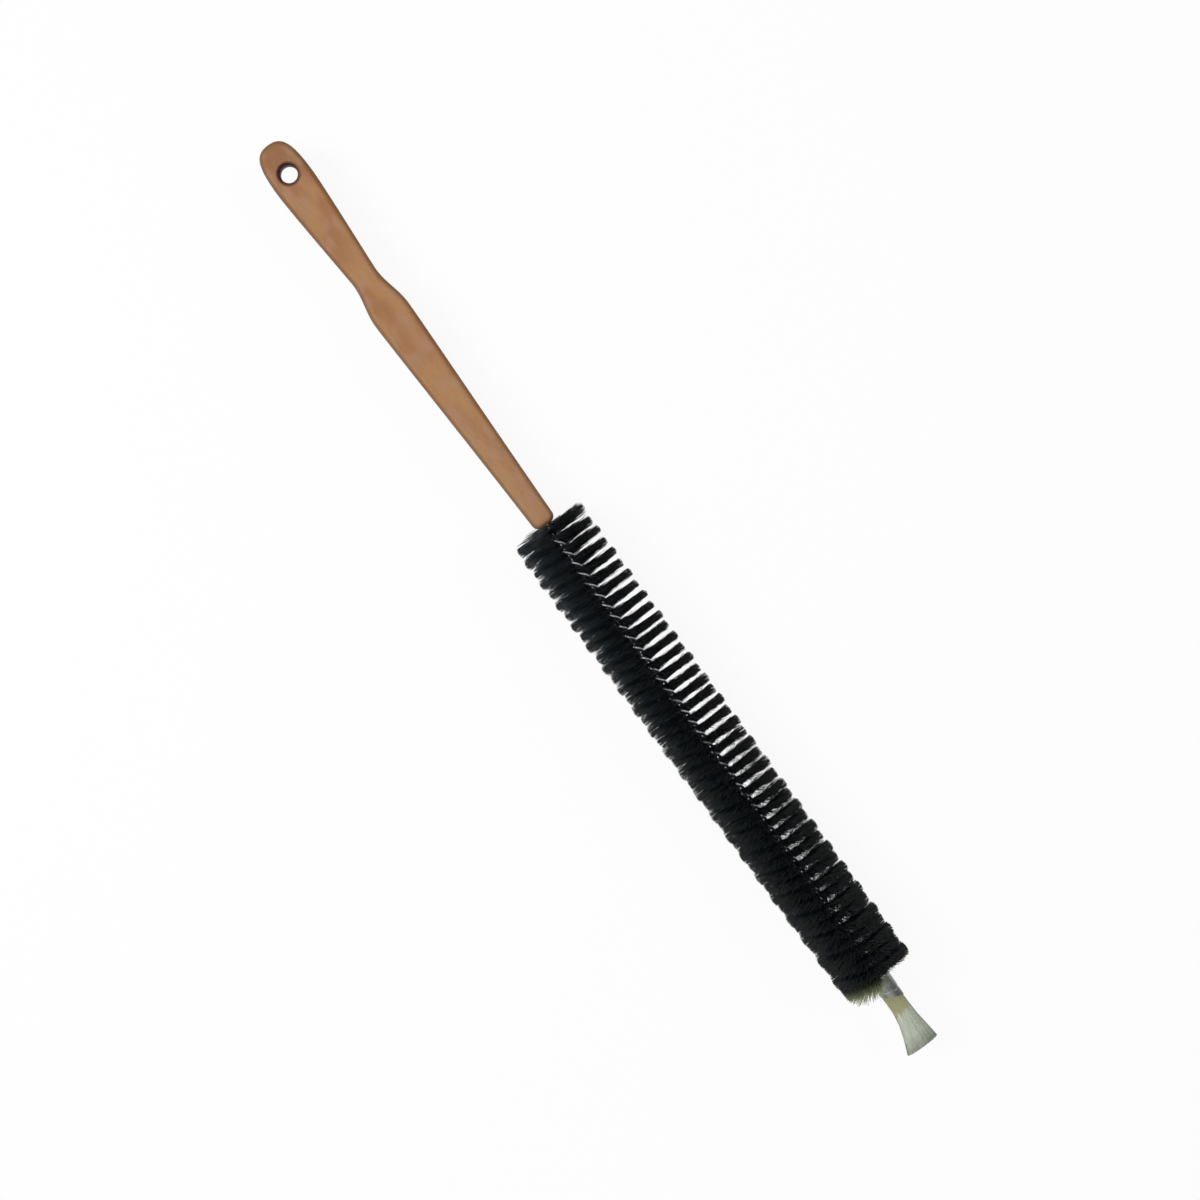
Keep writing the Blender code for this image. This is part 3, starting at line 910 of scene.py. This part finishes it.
@dataclass
class BristleHead:
    """The black bristle: hairs folded between the wires, so that they stand in two spiral blades.

    Towards the tip the head is worn: hairs stray more, blades fan out and neighbours lean together.
    Next to the handle the hairs are crowded. A place that ends in _from and its _run are shares of
    the head's length. Strays are spreads, in radians round the axis.
    """

    axis: BrushAxis
    head_at: float = 0.2910
    length: float = 0.3556
    half_turns: int = 43
    long_reach: float = 0.0262
    short_reach: float = 0.0252
    root_radius: float = 0.0005
    hairs_a_half_turn: int = 430
    extra_hair: float = 0.9
    hair_radius: float = 0.00016
    rounding: float = 0.03
    uneven: float = 0.012
    lean: float = 0.0024
    worn_lean: float = 0.0009
    lean_from: float = 0.20
    lean_run: float = 0.33
    lean_jitter: float = 0.0003
    bow: float = 0.0004
    worn_from: float = 0.42
    worn_run: float = 0.5
    stray: float = 0.025
    worn_stray: float = 0.10
    crowded_stray: float = 0.32
    tuft_stray: float = 0.03
    pairing: float = 0.0010
    droop: float = 0.0110
    droop_start: float = 0.0070
    droop_run: float = 0.0060
    groups: int = 8
    seed: int = 11

    @property
    def half_pitch(self) -> float:
        """The length of half a turn."""
        return self.length / self.half_turns

    def strands(self, first: int, last: int, side: Side, rng: np.random.Generator) -> np.ndarray:
        """The lines of the hairs on one side over some half turns.

        Args:
            first: the first half turn.
            last: the half turn after the last one.
            side: which end of the folded hairs.
            rng: the source of each hair's own stray.

        Returns:
            An array of hairs, points and coordinates.
        """
        fuller = 1 + self.extra_hair * max(0.0, (first + last) / self.half_turns - 1)
        count = round((last - first) * self.hairs_a_half_turn * fuller)
        along = (first + rng.uniform(0, last - first, count)) * self.half_pitch
        tuft = np.minimum((along / self.half_pitch).astype(int), self.half_turns - 1)
        shares = np.array([0.0, 0.35, 0.70, 1.0])
        reach = self.long_reach if side is Side.LONG else self.short_reach
        lane = rng.uniform(-1, 1, count)
        reach = reach * (1 - self.rounding * lane**2 - np.abs(rng.normal(0, self.uneven, count)))
        angle = HALF_TURN / 2 - HALF_TURN * along / self.half_pitch
        if side is Side.SHORT:
            angle = angle + HALF_TURN
        worn = rise(along / self.length, self.worn_from, self.worn_run)
        crowded = np.clip(1.2 - along / (2.0 * self.half_pitch), 0, 1)
        spread = self.stray + self.worn_stray * worn + self.crowded_stray * crowded
        stray = rng.normal(0, 1, count) * spread
        stray = stray + self._of_tuft(side, self.tuft_stray)[tuft]
        wider = rise(along / self.length, self.lean_from, self.lean_run)
        shift = (self.lean + self.worn_lean * wider) * lane + rng.normal(0, self.lean_jitter, count)
        shift = shift + self._of_tuft(side, self.lean_jitter)[tuft]
        shift = shift + side.value * self._paired(along, angle)
        bow = rng.normal(0, self.bow, count)
        radius = self.root_radius + (reach[:, None] - self.root_radius) * shares
        x = along[:, None] + shift[:, None] * shares ** (0.9 - 0.4 * worn[:, None])
        x = x + bow[:, None] * np.sin(math.pi * shares)
        x = x + self._droop(along, angle, rng)[:, None] * shares**2.5
        turned = angle[:, None] + stray[:, None] * shares
        y = radius * np.cos(turned)
        z = self.axis.height + radius * np.sin(turned)
        return self._on_floor(np.stack([self.axis.x(self.head_at) + x, y, z], -1))

    def _paired(self, along: np.ndarray, angle: np.ndarray) -> np.ndarray:
        """How far neighbouring blades lean together, mostly at -Y in the half towards the tip.

        Args:
            along: each hair's place along the head.
            angle: each hair's direction.

        Returns:
            The shift of each hair's tip along X, to be taken with the side's sign.
        """
        share = along / self.length
        left = rise(share, 0.55, 0.3) * np.clip(-np.cos(angle), 0, 1)
        right = rise(share, 0.5, 0.3) * np.clip(np.cos(angle), 0, 1)
        return self.pairing * (left + 0.4 * right)

    def _of_tuft(self, side: Side, spread: float) -> np.ndarray:
        """One stray of that spread for each half turn, alike in every group."""
        return np.random.default_rng(self.seed + 7 * side.value + 101).normal(0, spread, self.half_turns)

    def _droop(self, along: np.ndarray, angle: np.ndarray, rng: np.random.Generator) -> np.ndarray:
        """How far the last blade's hairs hang towards the tip on the -Y side.

        Args:
            along: each hair's place along the head.
            angle: each hair's direction.
            rng: the source of each hair's own stray.

        Returns:
            The shift of each hair's tip along X.
        """
        near_end = rise(along - self.length, -self.droop_start, self.droop_run)
        towards = np.clip(0.15 - np.cos(angle), 0, 1)
        return near_end * towards * rng.uniform(0.0, self.droop, along.size)

    def _on_floor(self, lines: np.ndarray) -> np.ndarray:
        """The hairs' lines, with what would reach below the floor laid on it."""
        lines[..., 2] = np.maximum(lines[..., 2], self.hair_radius)
        return lines

    def build(self, shop: Workshop, hair: bpy.types.Material) -> list[bpy.types.Object]:
        """Draws the head in groups of half turns and dresses them.

        Args:
            shop: makes its pieces.
            hair: their material.

        Returns:
            The pieces.
        """
        pieces = []
        ends = np.linspace(0, self.half_turns, self.groups + 1).round().astype(int)
        for number, (first, last) in enumerate(zip(ends, ends[1:]), 1):
            rng = np.random.default_rng(self.seed + number)
            drawn = [self.strands(first, last, side, rng) for side in Side]
            if last == self.half_turns:
                drawn += [self.strands(last - 1, last, side, rng) for side in Side]
            lines = np.concatenate(drawn)
            taper = np.array([1.0, 1.0, 0.95, 0.75])
            loose = rise(lines[:, -1:, 0], self.axis.x(self.head_at + self.length), 0.004)
            radii = self.hair_radius * rng.uniform(0.8, 1.15, (len(lines), 1)) * (1 - 0.35 * loose) * taper
            mesh = Hairs(lines, radii).mesh(f"head_bristle_{number}", rng)
            nodes = [f"tuft_{i + 1:02d}" for i in range(first, last)]
            pieces.append(shop.finish_piece(f"head_bristle_{number}", mesh, hair, nodes))
        return pieces


@dataclass
class Ferrule:
    """The tapered metal sleeve on the end of the wires, with a crimp and a mouth cut at a slant."""

    axis: BrushAxis
    at: float = 0.6471
    length: float = 0.0164
    top_radius: float = 0.0075
    mouth_radius: float = 0.0068
    mouth_thickness: float = 0.0068
    wall: float = 0.0005
    rim_round: float = 0.0009
    crimp_at: float = 0.72
    crimp_width: float = 0.0016
    crimp_depth: float = 0.00025
    bore_radius: float = 0.00315
    slant: float = 0.5
    steps: int = 96
    side_steps: int = 40
    rim_steps: int = 6

    def finish(self) -> ShadePaintedMetal:
        """Sheet metal with a grain round the sleeve, with painted shade towards +Y, the side turned from the
        key lamp.

        Returns:
            The finish.
        """
        # the default shade is painted shade on the +Y side
        return ShadePaintedMetal(
            "ferrule_metal",
            bright=(0.66, 0.71, 0.68),
            dull=(0.46, 0.50, 0.46),
            roughness=0.34,
            grain=(60.0, 700.0, 700.0),
        )

    def side_radius(self, share: float) -> float:
        """The outer radius at a share of the length, crimp left out."""
        return self.top_radius + (self.mouth_radius - self.top_radius) * share

    def flatness(self, share: float) -> float:
        """The thickness over the width at a share of the length."""
        return 1 - (1 - self.mouth_thickness / (2 * self.mouth_radius)) * share

    def side(self, inset: float) -> list[tuple[float, float]]:
        """The tapered side with its crimp.

        Args:
            inset: how far the side is set in.

        Returns:
            (x, radius) points from the top to the mouth.
        """
        points = []
        below_rim = self.rim_round / self.length * 1.2
        for step in range(self.side_steps + 1):
            share = below_rim + (1 - below_rim) * step / self.side_steps
            off = (share - self.crimp_at) * self.length / (self.crimp_width / 2)
            dip = self.crimp_depth * math.exp(-off * off * 1.6)
            points.append((share * self.length, self.side_radius(share) - dip - inset))
        return points

    def profile(self) -> list[tuple[float, float]]:
        """The sleeve's closed outline: top plate, rounded rim, side and inner wall.

        Returns:
            (x, radius) points.
        """
        rim = []
        for step in range(self.rim_steps + 1):
            angle = math.pi / 2 * step / self.rim_steps
            along = self.rim_round * (1 - math.cos(angle))
            out = self.top_radius - self.rim_round * (1 - math.sin(angle))
            rim.append((along, out))
        outer = self.side(0)
        inner = self.side(self.wall)
        top = [(self.wall, inner[0][1]), (self.wall, self.bore_radius), (0, self.bore_radius)]
        return [*rim, *outer, *reversed(inner), *top]

    def build(self, shop: Workshop, metal: bpy.types.Material) -> bpy.types.Object:
        """Turns the sleeve and dresses it.

        Args:
            shop: makes its pieces.
            metal: its material.

        Returns:
            The piece.
        """
        mesh = shop.turned("ferrule_sleeve", self.profile(), self.steps)
        for vert in mesh.vertices:
            share = vert.co.x / self.length
            vert.co.z *= self.flatness(share)
            vert.co.x += vert.co.y * self.slant * share**2
        mesh.transform(Matrix.Translation((self.axis.x(self.at), 0, self.axis.height)))
        piece = shop.finish_piece("ferrule_sleeve", mesh, metal, ["ferrule"])
        mesh.set_sharp_from_angle(angle=math.radians(35))
        return piece


@dataclass
class TipTuft:
    """The pale tuft: its hairs leave the ferrule as a bound neck and flare to a straight trim.

    Half widths, half thicknesses, leans and tapers are given at six places along the hairs: their
    start, the ferrule's mouth, the end of the neck, two places on the flare and the trim.
    """

    axis: BrushAxis
    starts_at: float = 0.6565
    mouth_at: float = 0.6635
    neck_ends_at: float = 0.6738
    ends_at: float = 0.7015
    half_widths: tuple[float, ...] = (0.0060, 0.0061, 0.0061, 0.0070, 0.0088, 0.0112)
    half_thicknesses: tuple[float, ...] = (0.0040, 0.0028, 0.0025, 0.0026, 0.0029, 0.0032)
    lean_shares: tuple[float, ...] = (0.0, 0.0, 0.0, 0.2, 0.5, 1.0)
    tapers: tuple[float, ...] = (1.0, 1.0, 1.0, 1.15, 1.4, 1.55)
    flare_shares: tuple[float, ...] = (0.3, 0.62, 1.0)
    lean: float = 0.003
    stray: float = 0.00022
    uneven_trim: float = 0.0003
    hairs: int = 4200
    hair_radius: float = 0.00015
    seed: int = 5

    def lines(self, rng: np.random.Generator) -> np.ndarray:
        """The hairs' lines, packed evenly across the bundle.

        Args:
            rng: the source of each hair's own stray.

        Returns:
            An array of hairs, points and coordinates.
        """
        index = np.arange(self.hairs)
        spread = np.sqrt((index + 0.5) / self.hairs)
        turn = index * math.pi * (3 - math.sqrt(5))
        flare_run = self.ends_at - self.neck_ends_at
        stations = [self.starts_at, self.mouth_at, self.neck_ends_at - 0.001]
        stations += [self.neck_ends_at + flare_run * share for share in self.flare_shares]
        stray = rng.normal(0, self.stray, (self.hairs, 2))
        out = rise(np.array(stations), self.neck_ends_at, flare_run)
        y = spread[:, None] * np.array(self.half_widths) * np.cos(turn)[:, None] + stray[:, :1] * out
        y = y - self.lean * np.array(self.lean_shares)
        z = spread[:, None] * np.array(self.half_thicknesses) * np.sin(turn)[:, None] + stray[:, 1:] * out
        x = np.repeat([stations], self.hairs, 0)
        x[:, -1] -= np.abs(rng.normal(0, self.uneven_trim, self.hairs))
        return np.stack([self.axis.grip_end + x, y, self.axis.height + z], -1)

    def build(self, shop: Workshop, hair: bpy.types.Material) -> bpy.types.Object:
        """Draws the tuft and dresses it.

        Args:
            shop: makes its pieces.
            hair: its material.

        Returns:
            The piece.
        """
        rng = np.random.default_rng(self.seed)
        lines = self.lines(rng)
        radii = self.hair_radius * rng.uniform(0.85, 1.15, (self.hairs, 1)) * np.array(self.tapers)
        mesh = Hairs(lines, radii).mesh("tip_hairs", rng)
        return shop.finish_piece("tip_hairs", mesh, hair, ["tip_tuft"])


# Studio


@dataclass(frozen=True)
class Lamp:
    """A square soft lamp: its place and side in metres, and its power in watts."""

    name: str
    place: Point
    size: float
    power: float

    def hang(self) -> None:
        """Hangs the lamp so that it looks at the brush."""
        light = bpy.data.lights.new(self.name, "AREA")
        light.shape = "SQUARE"
        light.size = self.size
        light.energy = self.power
        lamp = bpy.data.objects.new(self.name, light)
        lamp.location = self.place
        lamp.rotation_euler = (-Vector(self.place)).to_track_quat("-Z", "Y").to_euler()
        bpy.context.scene.collection.objects.link(lamp)


@dataclass
class Studio:
    """The floor, the lamps, the world's light and the camera."""

    axis: BrushAxis
    floor_size: float = 60.0
    floor_cells: int = 8
    world_light: float = 0.26
    lamps: tuple[Lamp, ...] = (
        Lamp("key_lamp", (-1.3, -1.6, 2.4), 1.4, 54.0),
        Lamp("fill_lamp", (0.5, 2.2, 1.8), 1.4, 13.0),
        Lamp("top_lamp", (-0.1, -0.2, 3.2), 1.6, 22.0),
        Lamp("tip_lamp", (1.5, -1.3, 2.8), 1.6, 5.0),
    )
    camera_above: float = 1.29711
    camera_x: float = -0.12049
    camera_y: float = -0.0008
    lens: float = 62.175
    tip_down: float = math.radians(3.82)
    roll: float = math.radians(53.703)
    shift: tuple[float, float] = (0.0247, -0.0336)

    def lay_floor(self) -> None:
        """Lays the floor, with its material."""
        bm = bmesh.new()
        cells = self.floor_cells
        bmesh.ops.create_grid(bm, x_segments=cells, y_segments=cells, size=self.floor_size / 2)
        mesh = bpy.data.meshes.new("studio_floor")
        bm.to_mesh(mesh)
        bm.free()
        mesh.materials.append(StudioFloor().material())
        floor = bpy.data.objects.new("studio_floor", mesh)
        bpy.context.scene.collection.objects.link(floor)

    def light(self) -> None:
        """Sets the world's light and the lamps."""
        world = bpy.data.worlds.new("studio_light")
        world.use_nodes = True
        background = world.node_tree.nodes["Background"]
        background.inputs["Color"].default_value = (1, 1, 1, 1)
        background.inputs["Strength"].default_value = self.world_light
        bpy.context.scene.world = world
        for lamp in self.lamps:
            lamp.hang()

    def set_camera(self) -> None:
        """Hangs the camera above the handle, with the brush's axis on a slant."""
        data = bpy.data.cameras.new("studio_camera")
        data.lens = self.lens
        data.sensor_width = 36.0
        data.shift_x, data.shift_y = self.shift
        camera = bpy.data.objects.new("studio_camera", data)
        along = Vector((math.cos(self.tip_down), 0, math.sin(self.tip_down)))
        across = Vector((0, 1, 0))
        right = along * math.cos(self.roll) + across * math.sin(self.roll)
        up = across * math.cos(self.roll) - along * math.sin(self.roll)
        back = right.cross(up)
        place = (self.camera_x, self.camera_y, self.axis.height + self.camera_above)
        turn = Matrix((right, up, back)).transposed().to_4x4()
        camera.matrix_world = Matrix.Translation(place) @ turn
        bpy.context.scene.collection.objects.link(camera)
        bpy.context.scene.camera = camera

    def build(self) -> None:
        """Sets up the whole studio."""
        self.lay_floor()
        self.light()
        self.set_camera()
        bpy.context.scene.view_settings.view_transform = "Standard"


def main() -> None:
    """Builds the brush's looks round the frame, then the studio."""
    logging.basicConfig(level=logging.INFO, format="%(name)s: %(message)s")
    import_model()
    axis = BrushAxis.of_frame()
    shop = Workshop()
    handle = Handle(axis)
    grip_end, joint, hole_x = (axis.x(along) for along in (0, handle.length, handle.hole_at))
    wood = OiledWood(grip_end, joint, hole_x, handle.hole_width / 2, axis.height)
    handle.build(shop, wood.material())
    head = BristleHead(axis)
    wires = CoreWires(axis, head.head_at, head.half_pitch)
    wires.build(shop, wires.finish().material())
    head_starts, head_ends = axis.x(head.head_at), axis.x(head.head_at + head.length)
    bristle = BlackBristle(axis.height, head.long_reach, head_starts, head_ends)
    head.build(shop, bristle.material())
    ferrule = Ferrule(axis)
    ferrule.build(shop, ferrule.finish().material())
    tuft = TipTuft(axis)
    tuft.build(shop, PaleBristle(axis.x(tuft.neck_ends_at), axis.height).material())
    Studio(axis).build()


if __name__ == "__main__":
    main()
